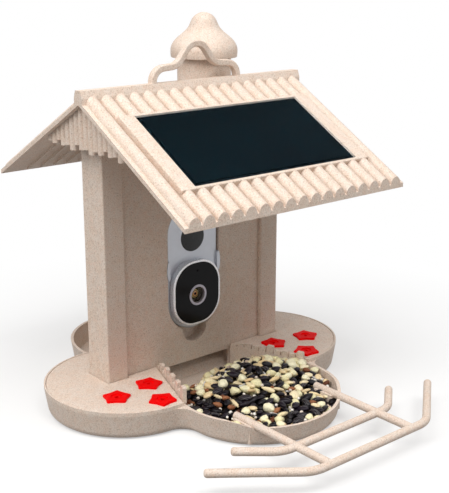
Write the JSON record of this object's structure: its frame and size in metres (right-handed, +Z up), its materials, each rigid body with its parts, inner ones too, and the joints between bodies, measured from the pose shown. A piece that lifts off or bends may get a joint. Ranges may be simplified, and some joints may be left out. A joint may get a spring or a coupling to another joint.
{
  "type": "smart bird feeder",
  "caption": "House-shaped bird feeder with a ribbed solar roof, a camera in the front wall, a seed bowl, lidded nectar wells and a ladder perch.",
  "frame": {"origin": "on the flat underside of the tray, in the middle between its four lobes", "axes": "+Z up, -Y is the way the camera and the perch face, +X to the right seen from the front; the ridge of the roof runs along X"},
  "size_m": [0.294, 0.3648, 0.3235],
  "materials": {
    "wheat_plastic": "speckled cream plastic, satin",
    "red_plastic": "glossy red",
    "brass": "turned",
    "screw_steel": "plain",
    "panel_glass": "clear, over dark cells",
    "panel_cells": "dark blue-black solar cells",
    "panel_back": "black back sheet",
    "rubber": "matte",
    "silver_plastic": "metallic grey, satin",
    "rim_plastic": "pale silver",
    "black_gloss": "polished black",
    "ring_metal": "satin",
    "barrel_black": "matte black",
    "lens_glass": "coated",
    "window_plastic": "smoked, over the motion sensor",
    "board_green": "lacquered board",
    "port_metal": "plated"
  },
  "bodies": {
    "house": {"tray": "wheat_plastic", "mount_plate": "wheat_plastic", "pole_insert": "brass", "post_screws": "screw_steel", "picket_fence_left": "wheat_plastic", "picket_fence_right": "wheat_plastic", "post_left": "wheat_plastic", "post_right": "wheat_plastic", "front_wall": "wheat_plastic", "camera_cradle": "wheat_plastic", "hopper": "wheat_plastic", "seed_funnel": "wheat_plastic", "roof_front": "wheat_plastic", "roof_back": "wheat_plastic", "ridge_cap": "wheat_plastic", "hanging_loop": "wheat_plastic", "gable_left": "wheat_plastic", "gable_right": "wheat_plastic", "solar_glass": "panel_glass", "solar_cells": "panel_cells", "solar_back": "panel_back", "lead_gland": "rubber", "chimney": "wheat_plastic", "perch": "wheat_plastic"},
    "lid_left": {"nectar_lid_left": "wheat_plastic", "flower_port_left_1": "red_plastic", "flower_port_left_2": "red_plastic", "flower_port_left_3": "red_plastic"},
    "lid_right": {"nectar_lid_right": "wheat_plastic", "flower_port_right_1": "red_plastic", "flower_port_right_2": "red_plastic", "flower_port_right_3": "red_plastic"},
    "filler_cap": {"chimney_cap": "wheat_plastic"},
    "camera": {"camera_front": "silver_plastic", "camera_back": "silver_plastic", "camera_screws": "screw_steel", "camera_rim": "rim_plastic", "camera_face": "black_gloss", "lens_ring": "ring_metal", "lens_glass": "lens_glass", "lens_barrel": "barrel_black", "motion_window": "window_plastic", "circuit_board": "board_green", "image_sensor": "port_metal", "battery": "barrel_black", "speaker": "barrel_black", "charge_port": "port_metal"},
    "button": {"power_button": "barrel_black"},
    "plug": {"port_plug": "rubber"}
  },
  "joints": [
    {"name": "nectar_lid_left_lift", "type": "slide", "parent": "house", "child": "lid_left", "axis": [0, 0, 1], "range_m": [0, 0.03]},
    {"name": "nectar_lid_right_lift", "type": "slide", "parent": "house", "child": "lid_right", "axis": [0, 0, 1], "range_m": [0, 0.03]},
    {"name": "chimney_cap_lift", "type": "slide", "parent": "house", "child": "filler_cap", "axis": [0, 0, 1], "range_m": [0, 0.04]},
    {"name": "camera_slide", "type": "slide", "parent": "house", "child": "camera", "axis": [0, -1, 0], "range_m": [0, 0.045]},
    {"name": "power_button_press", "type": "slide", "parent": "camera", "child": "button", "axis": [0, -1, 0], "range_m": [0, 0.0008], "stiffness_N_per_m": 1500},
    {"name": "port_plug_pull", "type": "slide", "parent": "camera", "child": "plug", "axis": [0, 0, -1], "range_m": [0, 0.007]}
  ]
}
